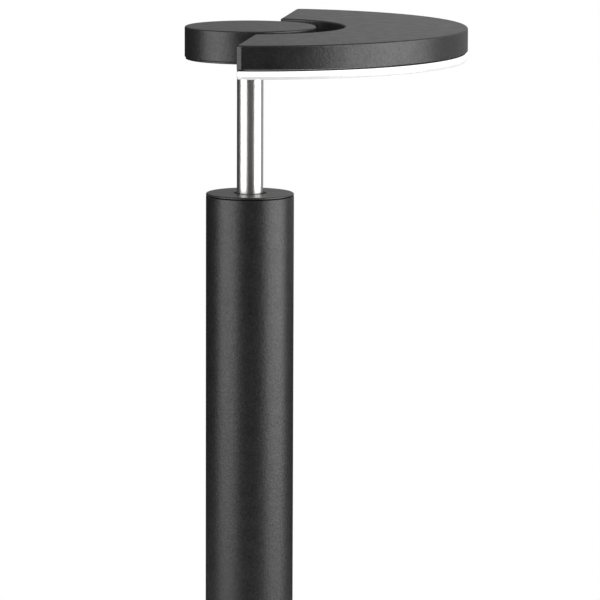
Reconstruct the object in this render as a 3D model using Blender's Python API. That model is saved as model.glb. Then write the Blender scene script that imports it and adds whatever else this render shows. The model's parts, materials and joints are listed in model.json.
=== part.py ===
"""A bollard light: a round post on a bolted base, a slim steel stem, and a half-ring head that turns on it.

Metres, +Z up. The origin is on the post's axis at ground level, and the half ring reaches towards +X.
"""

import math

import bmesh
import bpy
from mathutils import Matrix, Vector

MM = 0.001
GAP = 0.3 * MM  # left between pieces that rest on each other
SLIP = 0.15 * MM  # radial clearance of a fixed pin, screw or tube in its hole

# The whole lamp
TOTAL_HEIGHT = 800 * MM
POST_RADIUS = 30 * MM
STEM_RADIUS = 9 * MM
STEM_REACH = 91.5 * MM  # bare stem between the post's top and the hub's underside
HUB_RADIUS = 44.5 * MM
HUB_HEIGHT = 22.2 * MM
RING_OUTER = 147.3 * MM
RING_INNER = 64 * MM
RING_EDGE = 12 * MM  # the half ring's straight edge lies this far in front of the axis
RIM_HEIGHT = 15.8 * MM

HEAD_TOP = TOTAL_HEIGHT
HEAD_BOTTOM = HEAD_TOP - HUB_HEIGHT
POST_TOP = HEAD_BOTTOM - STEM_REACH

# Base and post
BASE_RADIUS = 75 * MM
BASE_GASKET = 2 * MM
PLATE_BOTTOM = BASE_GASKET + GAP
PLATE_TOP = 12 * MM
SEAT_TOP = PLATE_TOP + 1 * MM  # the raised seat that the post stands on
SEAT_RADIUS = POST_RADIUS + 2 * MM
POST_WALL = 2.5 * MM
POST_BORE = POST_RADIUS - POST_WALL
SPIGOT_RADIUS = POST_BORE - GAP
SPIGOT_BORE = 23 * MM
SPIGOT_TOP = 72 * MM
FIXING_CIRCLE = 60 * MM
FIXING_HOLE = 4.5 * MM
ENTRY_PLACES = ((7 * MM, 11 * MM), (7 * MM, -11 * MM))
ENTRY_HOLE = 6.5 * MM
BASE_SCREW_HEIGHT = 42 * MM
BASE_SCREW_RADIUS = 2.5 * MM
BASE_SCREW_AZIMUTHS = (30, 150, 270)

# Cap on the post
CAP_PLATE = 1.6 * MM
CAP_ROUNDING = 1.5 * MM
CAP_BOTTOM = POST_TOP - 24 * MM
CAP_BOSS_RADIUS = 14 * MM
CAP_RECESS_RADIUS = 24 * MM
CAP_RECESS_TOP = POST_TOP - 5 * MM
CAP_SCREW_HEIGHT = POST_TOP - 17.5 * MM
CAP_SCREW_RADIUS = 2 * MM
CAP_SCREW_AZIMUTHS = (50, 130)
SEAL_HEIGHT = POST_TOP - 9.5 * MM
SEAL_CORD = 1.1 * MM
SEAL_GROOVE = 2.4 * MM
SEAL_GROOVE_HALF_HEIGHT = 1.4 * MM
STEM_SEAL_RADIUS = STEM_RADIUS + 2.3 * MM
STEM_SEAL_DEPTH = 1.9 * MM
STEM_SEAL_CORD = 0.9 * MM
STEM_BORE = 7 * MM
STEM_BOTTOM = POST_TOP - 46 * MM

# Mounting plate, driver and terminals in the post
BRACKET_FACE = -14.5 * MM
BRACKET_SHEET = 1.5 * MM
BRACKET_HALF_WIDTH = 12 * MM
BRACKET_TOP = 276 * MM
BRACKET_FOOT_FRONT = -3 * MM
BRACKET_SCREW_X = -9 * MM
BRACKET_SCREW_Y = 7 * MM
DRIVER_DEPTH = 24 * MM
DRIVER_HALF_WIDTH = 16 * MM
DRIVER_TAB = 7 * MM
DRIVER_TAB_SHEET = 2.5 * MM
DRIVER_BOTTOM = 150 * MM
DRIVER_TOP = 262 * MM
TERMINAL_BOTTOM = 84 * MM
TERMINAL_TOP = 106 * MM
TERMINAL_DEPTH = 13 * MM
TERMINAL_HALF_WIDTH = 11 * MM
WIRE_DEPTH = 6 * MM  # the wire holes lie this far in front of the terminals' back
EARTH_HEIGHT = 60 * MM

# Levels in the head, bottom to top
HUB_PLATE_TOP = HEAD_BOTTOM + 1.2 * MM
HUB_GASKET_TOP = HUB_PLATE_TOP + GAP + 0.8 * MM
HUB_WALL_BOTTOM = HUB_GASKET_TOP + GAP
LOWER_CLIP = HEAD_BOTTOM + 1.9 * MM
CLIP_SHEET = 0.8 * MM
BUSH_FLANGE = LOWER_CLIP + CLIP_SHEET + GAP
DISC_BOTTOM = BUSH_FLANGE + 1.0 * MM
DISC_TOP = DISC_BOTTOM + 5.2 * MM
STOP_WASHER = DISC_TOP + GAP
UPPER_CLIP = STOP_WASHER + 1.0 * MM + GAP
STEM_TOP = UPPER_CLIP + CLIP_SHEET + 0.5 * MM
BAR_TOP = HEAD_TOP - 8 * MM
BAR_BOTTOM = BAR_TOP - 6 * MM
CEILING = HEAD_TOP - 3 * MM

# Hub, arm and swivel
HUB_WALL = 3 * MM
HUB_EDGE = 0.8 * MM
HUB_SCREW_CIRCLE = 37.5 * MM
HUB_SCREW_AZIMUTHS = (90, 210, 330)
ARM_SCREW_CIRCLE = 24 * MM
ARM_SCREW_AZIMUTHS = (60, 180, 300)
DISC_RADIUS = 30 * MM
BUSH_RADIUS = 11 * MM
RUNNING_FIT = 0.1 * MM  # the bush turns on the stem
BAR_HALF_WIDTH = 13 * MM
BAR_END = 79.5 * MM
BAR_SCREW_X = 74.5 * MM
BAR_SCREW_Y = 8 * MM
DUCT_HALF_WIDTH = 2.2 * MM
STOP_REACH = 18 * MM
STOP_HALF_WIDTH = 1.5 * MM

# Half ring
RIM_BOTTOM = HEAD_TOP - RIM_HEIGHT
RIM_WALL = 2.5 * MM
RIM_EDGE = 1.3 * MM
TIP_ALONG = 3.2 * MM  # the half ring's ends are cut off at a slant: this far along the outer arc,
TIP_DOWN = 1.2 * MM  # and this far down the straight edge
CORNER_ROUNDING = 0.8 * MM
RIM_GASKET_TOP = RIM_BOTTOM - GAP
RIM_GASKET_BOTTOM = RIM_GASKET_TOP - 0.8 * MM
DIFFUSER_STEP = RIM_GASKET_BOTTOM - GAP
DIFFUSER_LIP_TOP = BAR_BOTTOM - GAP
DIFFUSER_SHEET = 2 * MM
DIFFUSER_SIDE = 0.4 * MM  # the diffuser's side stands this far inside the rim
OUTER_SCREW_CIRCLE = 138 * MM
OUTER_SCREW_AZIMUTHS = (-72, -24, 24, 72)
INNER_SCREW_PLACES = ((22 * MM, 72.7 * MM), (22 * MM, -72.7 * MM))
BOARD_OUTER = 133 * MM
BOARD_INNER = 81 * MM
PAD_TOP = CEILING - GAP
BOARD_TOP = PAD_TOP - 0.6 * MM - GAP
BOARD_BOTTOM = BOARD_TOP - 1.5 * MM
LED_ROWS = ((98 * MM, 12, 6), (120 * MM, 10, 7))  # radius, step in degrees, steps each way from +X
CONNECTOR_START = 88 * MM

# Screws: shank radius, length, head radius, head height
BRACKET_SCREW = (2 * MM, 8 * MM, 3.5 * MM, 2.4 * MM)
HUB_PLATE_SCREW = (1.2 * MM, 12 * MM, 2.5 * MM, 1.1 * MM)
ARM_SCREW = (1.9 * MM, 12 * MM, 3.2 * MM, 1.6 * MM)
BAR_SCREW = (1.9 * MM, 9.5 * MM, 3.2 * MM, 2 * MM)
DIFFUSER_SCREW = (1.4 * MM, 12 * MM, 2.8 * MM, 1.4 * MM)

# Leads
MAINS_LEAD_RADIUS = 2.4 * MM
STEM_LEAD_RADIUS = 1.6 * MM
HEAD_LEAD_RADIUS = 1.5 * MM
LEAD_SPLIT = STEM_TOP - 6 * MM  # the stem's lead ends here and the head's lead begins

HEX = "hexagon"
LARGE_SIDES = 40  # sides of the facets round the post, hub and base
MEDIUM_SIDES = 32
SEAL_SIDES = 24
SCREW_SIDES = 12


# ---------------------------------------------------------------- scene and materials


def clear_scene():
    for item in list(bpy.data.objects):
        bpy.data.objects.remove(item)


def make_material(name, colour, roughness, metallic=0.0, glow=0.0):
    material = bpy.data.materials.new(name)
    material.use_nodes = True
    shader = material.node_tree.nodes["Principled BSDF"]
    shader.inputs["Base Color"].default_value = (*colour, 1.0)
    shader.inputs["Roughness"].default_value = roughness
    shader.inputs["Metallic"].default_value = metallic
    shader.inputs["Emission Color"].default_value = (*colour, 1.0)
    shader.inputs["Emission Strength"].default_value = glow
    return material


def make_materials():
    return {
        "coat": make_material("anthracite_powder_coat", (0.045, 0.045, 0.048), 0.42),
        "steel": make_material("stainless_steel", (0.62, 0.61, 0.59), 0.22, 1.0),
        "screw": make_material("screw_steel", (0.50, 0.50, 0.49), 0.35, 1.0),
        "aluminium": make_material("aluminium_sheet", (0.70, 0.71, 0.72), 0.40, 1.0),
        "rubber": make_material("black_rubber", (0.02, 0.02, 0.02), 0.70),
        "opal": make_material("opal_acrylic", (0.95, 0.95, 0.94), 0.25, glow=1.0),
        "board": make_material("white_circuit_board", (0.85, 0.86, 0.85), 0.45),
        "pad": make_material("grey_thermal_pad", (0.40, 0.42, 0.45), 0.80),
        "driver": make_material("white_driver_case", (0.80, 0.80, 0.78), 0.45),
        "terminal": make_material("grey_nylon", (0.45, 0.46, 0.47), 0.50),
        "acetal": make_material("natural_acetal", (0.88, 0.87, 0.82), 0.35),
        "lead": make_material("black_lead_jacket", (0.03, 0.03, 0.03), 0.50),
    }


# ---------------------------------------------------------------- shape tools


def add_object(shape, name, material):
    """A bmesh as a named object, closed, facing out and smooth except at real edges."""
    bmesh.ops.recalc_face_normals(shape, faces=shape.faces)
    mesh = bpy.data.meshes.new(name)
    shape.to_mesh(mesh)
    shape.free()
    mesh.shade_smooth()
    mesh.set_sharp_from_angle(angle=math.radians(30))
    thing = bpy.data.objects.new(name, mesh)
    if material:
        mesh.materials.append(material)
    bpy.context.collection.objects.link(thing)
    return thing


def bridge(shape, first, second):
    """Faces between two rings with as many points."""
    for i in range(len(first)):
        after = (i + 1) % len(first)
        shape.faces.new((first[i], first[after], second[after], second[i]))


def hexagon_reach(angle):
    """Distance from a hexagon's centre to its outline, for flats at a distance of one."""
    sixth = math.radians(60)
    return 1 / math.cos((angle + sixth / 2) % sixth - sixth / 2)


def add_ring(shape, radius, height, outline=None, sides=24):
    points = []
    for i in range(sides):
        angle = math.tau * i / sides
        reach = radius * hexagon_reach(angle) if outline == HEX else radius
        points.append(shape.verts.new((reach * math.cos(angle), reach * math.sin(angle), height)))
    return points


def turned(name, section, material=None, sides=24):
    """A solid turned about Z from its half-section of (radius, height) or (flat, height, HEX).

    A section that starts and ends on the axis has flat ends there. Any other section is closed into a loop.
    """
    shape = bmesh.new()
    meets_axis = section[0][0] == 0
    if meets_axis:
        section = section[1:-1]
    rings = [add_ring(shape, *corner, sides=sides) for corner in section]
    for first, second in zip(rings, rings[1:]):
        bridge(shape, first, second)
    if meets_axis:
        shape.faces.new(rings[0])
        shape.faces.new(rings[-1])
    else:
        bridge(shape, rings[-1], rings[0])
    return add_object(shape, name, material)


def add_layers(shape, layers):
    rings = [[shape.verts.new((x, y, height)) for x, y in outline] for outline, height in layers]
    for first, second in zip(rings, rings[1:]):
        bridge(shape, first, second)
    return rings


def prism(name, layers, material=None):
    """A solid through layers of (outline, height), closed at both ends."""
    shape = bmesh.new()
    rings = add_layers(shape, layers)
    shape.faces.new(rings[0])
    shape.faces.new(rings[-1])
    return add_object(shape, name, material)


def tray(name, outside, inside, material):
    """An open tray: layers from the mouth to the closed end, outside and inside."""
    shape = bmesh.new()
    outer = add_layers(shape, outside)
    inner = add_layers(shape, inside)
    bridge(shape, outer[0], inner[0])
    shape.faces.new(outer[-1])
    shape.faces.new(inner[-1])
    return add_object(shape, name, material)


def box(name, low, high, material=None):
    outline = ((low[0], low[1]), (high[0], low[1]), (high[0], high[1]), (low[0], high[1]))
    return prism(name, ((outline, low[2]), (outline, high[2])), material)


def across(name, side, half_width, material=None):
    """A solid with the same side view, listed as (x, height), over its whole width."""
    shape = bmesh.new()
    left, right = ([shape.verts.new((x, y, z)) for x, z in side] for y in (-half_width, half_width))
    bridge(shape, left, right)
    shape.faces.new(left)
    shape.faces.new(right)
    return add_object(shape, name, material)


def rod(name, radius, bottom, top, material=None, sides=16):
    return turned(name, ((0, top), (radius, top), (radius, bottom), (0, bottom)), material, sides)


def arc(centre, radius, start, end, steps):
    """Points on an arc in the XY plane, both ends included. Angles are in degrees."""
    points = []
    for i in range(steps + 1):
        angle = math.radians(start + (end - start) * i / steps)
        points.append((centre[0] + radius * math.cos(angle), centre[1] + radius * math.sin(angle)))
    return points


def polar(radius, azimuth):
    angle = math.radians(azimuth)
    return radius * math.cos(angle), radius * math.sin(angle)


def half_ring(inset=0.0, outer=RING_OUTER, inner=RING_INNER, steps=40):
    """The half ring's outline moved inwards by inset: outer arc, tip, straight edge, arc round the hub."""
    outer = outer - inset
    inner = inner + inset
    edge = RING_EDGE + inset
    tip_x = edge + TIP_ALONG
    tip_y = math.sqrt(outer**2 - tip_x**2)
    corner = CORNER_ROUNDING
    corner_centre = (edge + corner, math.sqrt((inner + corner) ** 2 - (edge + corner) ** 2))
    tip_angle = math.degrees(math.atan2(tip_y, tip_x))
    corner_angle = math.degrees(math.atan2(corner_centre[1], corner_centre[0]))
    half = arc((0, 0), outer, 0, tip_angle, steps // 2)
    half.append((edge, tip_y - TIP_DOWN))
    half += arc(corner_centre, corner, 180, 180 + corner_angle, 2)
    half += arc((0, 0), inner, corner_angle, 0, steps // 3)[1:]
    return half + [(x, -y) for x, y in reversed(half[1:-1])]


def open_ring(outer, inner, opening, steps=20):
    """A flat ring's outline with an opening, in degrees, centred on +X."""
    start = opening / 2
    return arc((0, 0), outer, start, 360 - start, steps) + arc((0, 0), inner, 360 - start, start, steps)


def combine(target, operation, tool):
    tool.hide_render = True
    tool.display_type = "WIRE"
    step = target.modifiers.new(f"{operation.lower()}_{tool.name}", "BOOLEAN")
    step.operation = operation
    step.solver = "EXACT"
    step.object = tool


def cut(target, *tools):
    for tool in tools:
        combine(target, "DIFFERENCE", tool)


def join(target, *tools):
    for tool in tools:
        combine(target, "UNION", tool)


def place(thing, location, direction=(0, 0, 1)):
    """Moves a piece made at the origin to location, with its own +Z along direction."""
    thing.location = location
    thing.rotation_mode = "QUATERNION"
    thing.rotation_quaternion = Vector(direction).to_track_quat("Z", "Y")
    return thing


def cap_screw(name, shank, length, head, head_height, material):
    """A hexagon-socket screw standing on its shank: the head's underside is at height 0."""
    key = head * 0.5
    section = (
        (0, head_height * 0.45),
        (key, head_height * 0.45, HEX),
        (key, head_height, HEX),
        (head, head_height),
        (head, 0),
        (shank, 0),
        (shank, -length),
        (0, -length),
    )
    return turned(name, section, material, sides=SCREW_SIDES)


def countersunk_screw(name, shank, length, head, head_height, material):
    """A countersunk screw whose head is flush with height 0 and whose shank points down."""
    key = head * 0.45
    section = (
        (0, -head_height * 0.5),
        (key, -head_height * 0.5, HEX),
        (key, 0, HEX),
        (head, 0),
        (shank, -head_height),
        (shank, -length),
        (0, -length),
    )
    return turned(name, section, material, sides=SCREW_SIDES)


def set_screw(name, radius, length, material):
    """A headless screw with a hexagon socket. Its outer end is at height 0."""
    key = radius * 0.55
    section = (
        (0, -radius),
        (key, -radius, HEX),
        (key, 0, HEX),
        (radius, 0),
        (radius, -length + radius * 0.5),
        (radius * 0.5, -length),
        (0, -length),
    )
    return turned(name, section, material, sides=SCREW_SIDES)


def screw_hole(name, radius, bottom, top):
    """The cutter for a screw's plain hole along Z."""
    return rod(name, radius + SLIP, bottom, top, sides=SCREW_SIDES)


def countersink(name, shank, length, head, head_height):
    """The cutter for a countersunk screw's hole, opening at height 0 and a little longer than the screw."""
    depth = length + MM
    section = (
        (0, MM),
        (head + SLIP, MM),
        (head + SLIP, 0),
        (shank + SLIP, -head_height),
        (shank + SLIP, -depth),
        (0, -depth),
    )
    return turned(name, section, sides=16)


def o_ring(name, radius, cord, height, material):
    """A round sealing ring lying flat at height."""
    section = [(radius + x, height + z) for x, z in arc((0, 0), cord, 0, 300, 5)]
    return turned(name, section, material, sides=SEAL_SIDES)


def smooth_route(corners, spacing):
    """Evenly spread points on the Catmull-Rom curve through the corners."""
    corners = [Vector(corner) for corner in corners]
    ends = [2 * corners[0] - corners[1], *corners, 2 * corners[-1] - corners[-2]]
    fine = []
    for before, start, end, after in zip(ends, ends[1:], ends[2:], ends[3:]):
        for i in range(40):
            t = i / 40
            a = 2 * start
            b = (end - before) * t
            c = (2 * before - 5 * start + 4 * end - after) * t**2
            d = (3 * start - before - 3 * end + after) * t**3
            fine.append((a + b + c + d) / 2)
    fine.append(corners[-1])
    lengths = [0.0]
    for first, second in zip(fine, fine[1:]):
        lengths.append(lengths[-1] + (second - first).length)
    count = max(2, round(lengths[-1] / spacing))
    route = []
    step = 0
    for i in range(count + 1):
        goal = lengths[-1] * i / count
        while step < len(fine) - 2 and lengths[step + 1] < goal:
            step += 1
        part = (goal - lengths[step]) / (lengths[step + 1] - lengths[step])
        route.append(fine[step].lerp(fine[step + 1], part))
    return route


def lead(name, corners, radius, material):
    """A round lead along a smooth route."""
    route = smooth_route(corners, radius * 5)
    curve = bpy.data.curves.new(name, "CURVE")
    curve.dimensions = "3D"
    curve.bevel_depth = radius
    curve.bevel_resolution = 2
    curve.use_fill_caps = True
    curve.materials.append(material)
    spline = curve.splines.new("POLY")
    spline.points.add(len(route) - 1)
    for point, place_on_route in zip(spline.points, route):
        point.co = (*place_on_route, 1)
    thing = bpy.data.objects.new(name, curve)
    bpy.context.collection.objects.link(thing)
    return thing


# ---------------------------------------------------------------- base and post


def make_base_gasket(rubber):
    gasket = rod("base_gasket", BASE_RADIUS - MM, 0, BASE_GASKET, rubber, sides=LARGE_SIDES)
    for number in range(4):
        hole = rod(f"gasket_fixing_hole_{number + 1}", FIXING_HOLE + MM, -MM, BASE_GASKET + MM)
        x, y = polar(FIXING_CIRCLE, 45 + 90 * number)
        cut(gasket, place(hole, (x, y, 0)))
    for number, (x, y) in enumerate(ENTRY_PLACES, 1):
        hole = rod(f"gasket_entry_hole_{number}", ENTRY_HOLE + 0.5 * MM, -MM, BASE_GASKET + MM)
        cut(gasket, place(hole, (x, y, 0)))


def make_base_flange(coat):
    """A cast plate with the spigot that the post slides over."""
    section = (
        (0, PLATE_BOTTOM),
        (BASE_RADIUS - 0.5 * MM, PLATE_BOTTOM),
        (BASE_RADIUS, PLATE_BOTTOM + 0.5 * MM),
        (BASE_RADIUS, PLATE_TOP - 1.5 * MM),
        (BASE_RADIUS - 1.5 * MM, PLATE_TOP),
        (SEAT_RADIUS, PLATE_TOP),
        (SEAT_RADIUS, SEAT_TOP),
        (SPIGOT_RADIUS, SEAT_TOP),
        (SPIGOT_RADIUS, SPIGOT_TOP - 1.5 * MM),
        (SPIGOT_RADIUS - 1.5 * MM, SPIGOT_TOP),
        (SPIGOT_BORE, SPIGOT_TOP),
        (SPIGOT_BORE, PLATE_TOP),
        (0, PLATE_TOP),
    )
    flange = turned("base_flange", section, coat, sides=LARGE_SIDES)
    for number in range(4):
        hole = rod(f"fixing_hole_{number + 1}", FIXING_HOLE, 0, PLATE_TOP + MM)
        x, y = polar(FIXING_CIRCLE, 45 + 90 * number)
        cut(flange, place(hole, (x, y, 0)))
    for number, (x, y) in enumerate(ENTRY_PLACES, 1):
        cut(flange, place(rod(f"entry_hole_{number}", ENTRY_HOLE, 0, PLATE_TOP + MM), (x, y, 0)))
    return flange


def make_cable_grommets(rubber):
    section = (
        (3.5 * MM, PLATE_BOTTOM + MM),
        (ENTRY_HOLE - GAP, PLATE_BOTTOM + MM),
        (ENTRY_HOLE - GAP, PLATE_TOP + GAP),
        (ENTRY_HOLE + 2 * MM, PLATE_TOP + GAP),
        (ENTRY_HOLE + 2 * MM, PLATE_TOP + 1.5 * MM),
        (4.5 * MM, PLATE_TOP + 3 * MM),
        (3.5 * MM, PLATE_TOP + 3 * MM),
    )
    for number, (x, y) in enumerate(ENTRY_PLACES, 1):
        place(turned(f"cable_grommet_{number}", section, rubber, sides=16), (x, y, 0))


def make_post_tube(coat):
    bottom = SEAT_TOP + GAP
    top = POST_TOP - CAP_PLATE - GAP
    section = ((POST_BORE, bottom), (POST_RADIUS, bottom), (POST_RADIUS, top), (POST_BORE, top))
    return turned("post_tube", section, coat, sides=LARGE_SIDES)


def make_radial_screw(name, azimuth, height, radius, reach, drilled, steel):
    """A set screw from just under the post's surface in to reach, and its hole in the drilled pieces."""
    start = POST_RADIUS - GAP
    x, y = polar(1, azimuth)
    screw = set_screw(name, radius, start - reach, steel)
    place(screw, (start * x, start * y, height), (x, y, 0))
    hole = screw_hole(f"{name}_hole", radius, reach - 2 * MM, POST_RADIUS + MM)
    place(hole, (0, 0, height), (x, y, 0))
    for thing in drilled:
        cut(thing, hole)


def fix_post_to_base(tube, flange, steel):
    reach = SPIGOT_BORE + 0.5 * MM
    for number, azimuth in enumerate(BASE_SCREW_AZIMUTHS, 1):
        name = f"base_set_screw_{number}"
        make_radial_screw(name, azimuth, BASE_SCREW_HEIGHT, BASE_SCREW_RADIUS, reach, (tube, flange), steel)


def fix_cap_to_post(tube, cap, steel):
    reach = CAP_RECESS_RADIUS + 0.5 * MM
    for number, azimuth in enumerate(CAP_SCREW_AZIMUTHS, 1):
        name = f"cap_set_screw_{number}"
        make_radial_screw(name, azimuth, CAP_SCREW_HEIGHT, CAP_SCREW_RADIUS, reach, (tube, cap), steel)


def make_post_cap(coat):
    """The cap's rounded plate closes the post, and the stem goes down through its boss."""
    boss_bore = STEM_RADIUS + SLIP
    edge = arc((POST_RADIUS - CAP_ROUNDING, POST_TOP - CAP_ROUNDING), CAP_ROUNDING, 0, 90, 3)
    section = (
        (boss_bore, CAP_BOTTOM),
        (CAP_BOSS_RADIUS, CAP_BOTTOM),
        (CAP_BOSS_RADIUS, CAP_RECESS_TOP),
        (CAP_RECESS_RADIUS, CAP_RECESS_TOP),
        (CAP_RECESS_RADIUS, CAP_BOTTOM),
        (SPIGOT_RADIUS - MM, CAP_BOTTOM),
        (SPIGOT_RADIUS, CAP_BOTTOM + MM),
        (SPIGOT_RADIUS, SEAL_HEIGHT - SEAL_GROOVE_HALF_HEIGHT),
        (SPIGOT_RADIUS - SEAL_GROOVE, SEAL_HEIGHT - SEAL_GROOVE_HALF_HEIGHT),
        (SPIGOT_RADIUS - SEAL_GROOVE, SEAL_HEIGHT + SEAL_GROOVE_HALF_HEIGHT),
        (SPIGOT_RADIUS, SEAL_HEIGHT + SEAL_GROOVE_HALF_HEIGHT),
        (SPIGOT_RADIUS, POST_TOP - CAP_PLATE),
        (POST_RADIUS, POST_TOP - CAP_PLATE),
        *edge,
        (STEM_SEAL_RADIUS, POST_TOP),
        (STEM_SEAL_RADIUS, POST_TOP - STEM_SEAL_DEPTH),
        (boss_bore, POST_TOP - STEM_SEAL_DEPTH),
    )
    return turned("post_cap", section, coat, sides=LARGE_SIDES)


def make_stem(steel):
    section = (
        (STEM_BORE, STEM_BOTTOM),
        (STEM_RADIUS, STEM_BOTTOM),
        (STEM_RADIUS, STEM_TOP),
        (STEM_BORE, STEM_TOP),
    )
    return turned("stem_tube", section, steel, sides=MEDIUM_SIDES)


def make_stem_fixings(materials):
    """The stem screws into the cap's boss, and a washer and a nut lock it from below."""
    bore = STEM_RADIUS + SLIP
    washer_bottom = CAP_BOTTOM - GAP - 1.2 * MM
    washer = (
        (bore, washer_bottom),
        (CAP_BOSS_RADIUS, washer_bottom),
        (CAP_BOSS_RADIUS, CAP_BOTTOM - GAP),
        (bore, CAP_BOTTOM - GAP),
    )
    turned("stem_washer", washer, materials["screw"], sides=SEAL_SIDES)
    nut_top = washer_bottom - GAP
    nut_bottom = nut_top - 5 * MM
    nut = ((bore, nut_bottom), (13 * MM, nut_bottom, HEX), (13 * MM, nut_top, HEX), (bore, nut_top))
    turned("stem_lock_nut", nut, materials["screw"], sides=SEAL_SIDES)
    seal_radius = STEM_RADIUS + SLIP + STEM_SEAL_CORD + 0.1 * MM
    o_ring("stem_seal", seal_radius, STEM_SEAL_CORD, POST_TOP - 0.7 * MM, materials["rubber"])
    o_ring("cap_seal", POST_BORE - SLIP - SEAL_CORD, SEAL_CORD, SEAL_HEIGHT, materials["rubber"])


# ---------------------------------------------------------------- mounting plate and electrics


def make_driver_bracket(flange, materials):
    """A bent sheet screwed down inside the spigot. It carries the terminals and the driver."""
    back = BRACKET_FACE - BRACKET_SHEET
    foot_bottom = PLATE_TOP + GAP
    foot_top = foot_bottom + BRACKET_SHEET
    width = BRACKET_HALF_WIDTH
    upright_top = (BRACKET_FACE, width, BRACKET_TOP)
    bracket = box("driver_bracket", (back, -width, foot_bottom), upright_top, materials["aluminium"])
    foot_low = (back + 0.5 * MM, -width, foot_bottom)
    join(bracket, box("bracket_foot", foot_low, (BRACKET_FOOT_FRONT, width, foot_top)))
    for number, y in enumerate((-BRACKET_SCREW_Y, BRACKET_SCREW_Y), 1):
        screw = cap_screw(f"bracket_screw_{number}", *BRACKET_SCREW, materials["screw"])
        place(screw, (BRACKET_SCREW_X, y, foot_top + GAP))
        name = f"bracket_screw_hole_{number}"
        hole = screw_hole(name, BRACKET_SCREW[0], PLATE_TOP - 7 * MM, foot_top + MM)
        place(hole, (BRACKET_SCREW_X, y, 0))
        cut(bracket, hole)
        cut(flange, hole)
    return bracket


def fix_to_bracket(name, bracket, front, height, radius, steel):
    """A screw through a piece that stands on the bracket. front is where its head rests."""
    length = front - BRACKET_FACE + BRACKET_SHEET + 3 * MM
    screw = cap_screw(name, radius, length, radius * 1.9, radius * 1.2, steel)
    place(screw, (front + GAP, 0, height), (1, 0, 0))
    hole = screw_hole(f"{name}_hole", radius, BRACKET_FACE - 4 * MM, front + MM)
    place(hole, (0, 0, height), (1, 0, 0))
    cut(bracket, hole)
    return hole


def make_driver(bracket, materials):
    """A closed case between two tabs that are screwed to the bracket."""
    back = BRACKET_FACE + GAP
    tab_front = back + DRIVER_TAB_SHEET
    tab_half_width = 10 * MM
    tab_low = (back, -tab_half_width, DRIVER_BOTTOM - DRIVER_TAB)
    tab_high = (tab_front, tab_half_width, DRIVER_TOP + DRIVER_TAB)
    driver = box("led_driver", tab_low, tab_high, materials["driver"])
    case_low = (back, -DRIVER_HALF_WIDTH, DRIVER_BOTTOM)
    case_high = (back + DRIVER_DEPTH, DRIVER_HALF_WIDTH, DRIVER_TOP)
    join(driver, box("driver_case", case_low, case_high))
    for number, height in enumerate((DRIVER_BOTTOM - DRIVER_TAB / 2, DRIVER_TOP + DRIVER_TAB / 2), 1):
        name = f"driver_screw_{number}"
        cut(driver, fix_to_bracket(name, bracket, tab_front, height, 1.5 * MM, materials["screw"]))


def make_terminal_block(bracket, materials):
    """Three poles, each with a wire hole from top to bottom and a screw hole in front."""
    back = BRACKET_FACE + GAP
    front = back + TERMINAL_DEPTH
    low = (back, -TERMINAL_HALF_WIDTH, TERMINAL_BOTTOM)
    high = (front, TERMINAL_HALF_WIDTH, TERMINAL_TOP)
    block = box("terminal_block", low, high, materials["terminal"])
    wire_x = back + WIRE_DEPTH
    middle = (TERMINAL_BOTTOM + TERMINAL_TOP) / 2
    for number, y in enumerate((-7 * MM, 0, 7 * MM), 1):
        for side, height in (("lower", TERMINAL_BOTTOM), ("upper", TERMINAL_TOP)):
            wire_hole = rod(f"{side}_wire_hole_{number}", 2 * MM, -7 * MM, 7 * MM, sides=SCREW_SIDES)
            cut(block, place(wire_hole, (wire_x, y, height)))
        screw_hole = rod(f"clamp_hole_{number}", 1.5 * MM, -5 * MM, MM, sides=SCREW_SIDES)
        cut(block, place(screw_hole, (front, y, middle + 5 * MM), (1, 0, 0)))
    cut(block, fix_to_bracket("terminal_screw", bracket, front, middle, 1.4 * MM, materials["screw"]))


def make_earth_screw(bracket, steel):
    fix_to_bracket("earth_screw", bracket, BRACKET_FACE, EARTH_HEIGHT, 2 * MM, steel)


def make_post_leads(material):
    """The mains lead from the terminals to the driver, and the lamp's lead from there up the stem."""
    wire_x = BRACKET_FACE + GAP + WIRE_DEPTH
    driver_x = BRACKET_FACE + GAP + DRIVER_DEPTH / 2
    mains_route = (
        (wire_x, 0, TERMINAL_TOP + GAP),
        (wire_x, 0, TERMINAL_TOP + 5 * MM),
        (wire_x, 0, TERMINAL_TOP + 10 * MM),
        (wire_x + 5 * MM, 4 * MM, TERMINAL_TOP + 22 * MM),
        (driver_x, 0, DRIVER_BOTTOM - 10 * MM),
        (driver_x, 0, DRIVER_BOTTOM - 5 * MM),
        (driver_x, 0, DRIVER_BOTTOM - GAP),
    )
    lead("mains_lead", mains_route, MAINS_LEAD_RADIUS, material)
    stem_route = (
        (driver_x, 0, DRIVER_TOP + GAP),
        (driver_x, 0, DRIVER_TOP + 12 * MM),
        (4 * MM, 3 * MM, DRIVER_TOP + 50 * MM),
        (8 * MM, 4 * MM, DRIVER_TOP + 110 * MM),
        (3 * MM, -5 * MM, DRIVER_TOP + 180 * MM),
        (-5 * MM, -4 * MM, DRIVER_TOP + 250 * MM),
        (-3 * MM, 2 * MM, DRIVER_TOP + 310 * MM),
        (0, 0, STEM_BOTTOM - 12 * MM),
        (0, 0, STEM_BOTTOM + 30 * MM),
        (0, 0, POST_TOP + 40 * MM),
        (0, 0, LEAD_SPLIT - GAP),
    )
    lead("stem_lead", stem_route, STEM_LEAD_RADIUS, material)


# ---------------------------------------------------------------- swivel


def make_retaining_ring(name, height, steel):
    outline = open_ring(STEM_RADIUS + 2.5 * MM, STEM_RADIUS + RUNNING_FIT, 40)
    prism(name, ((outline, height), (outline, height + CLIP_SHEET)), steel)


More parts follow.
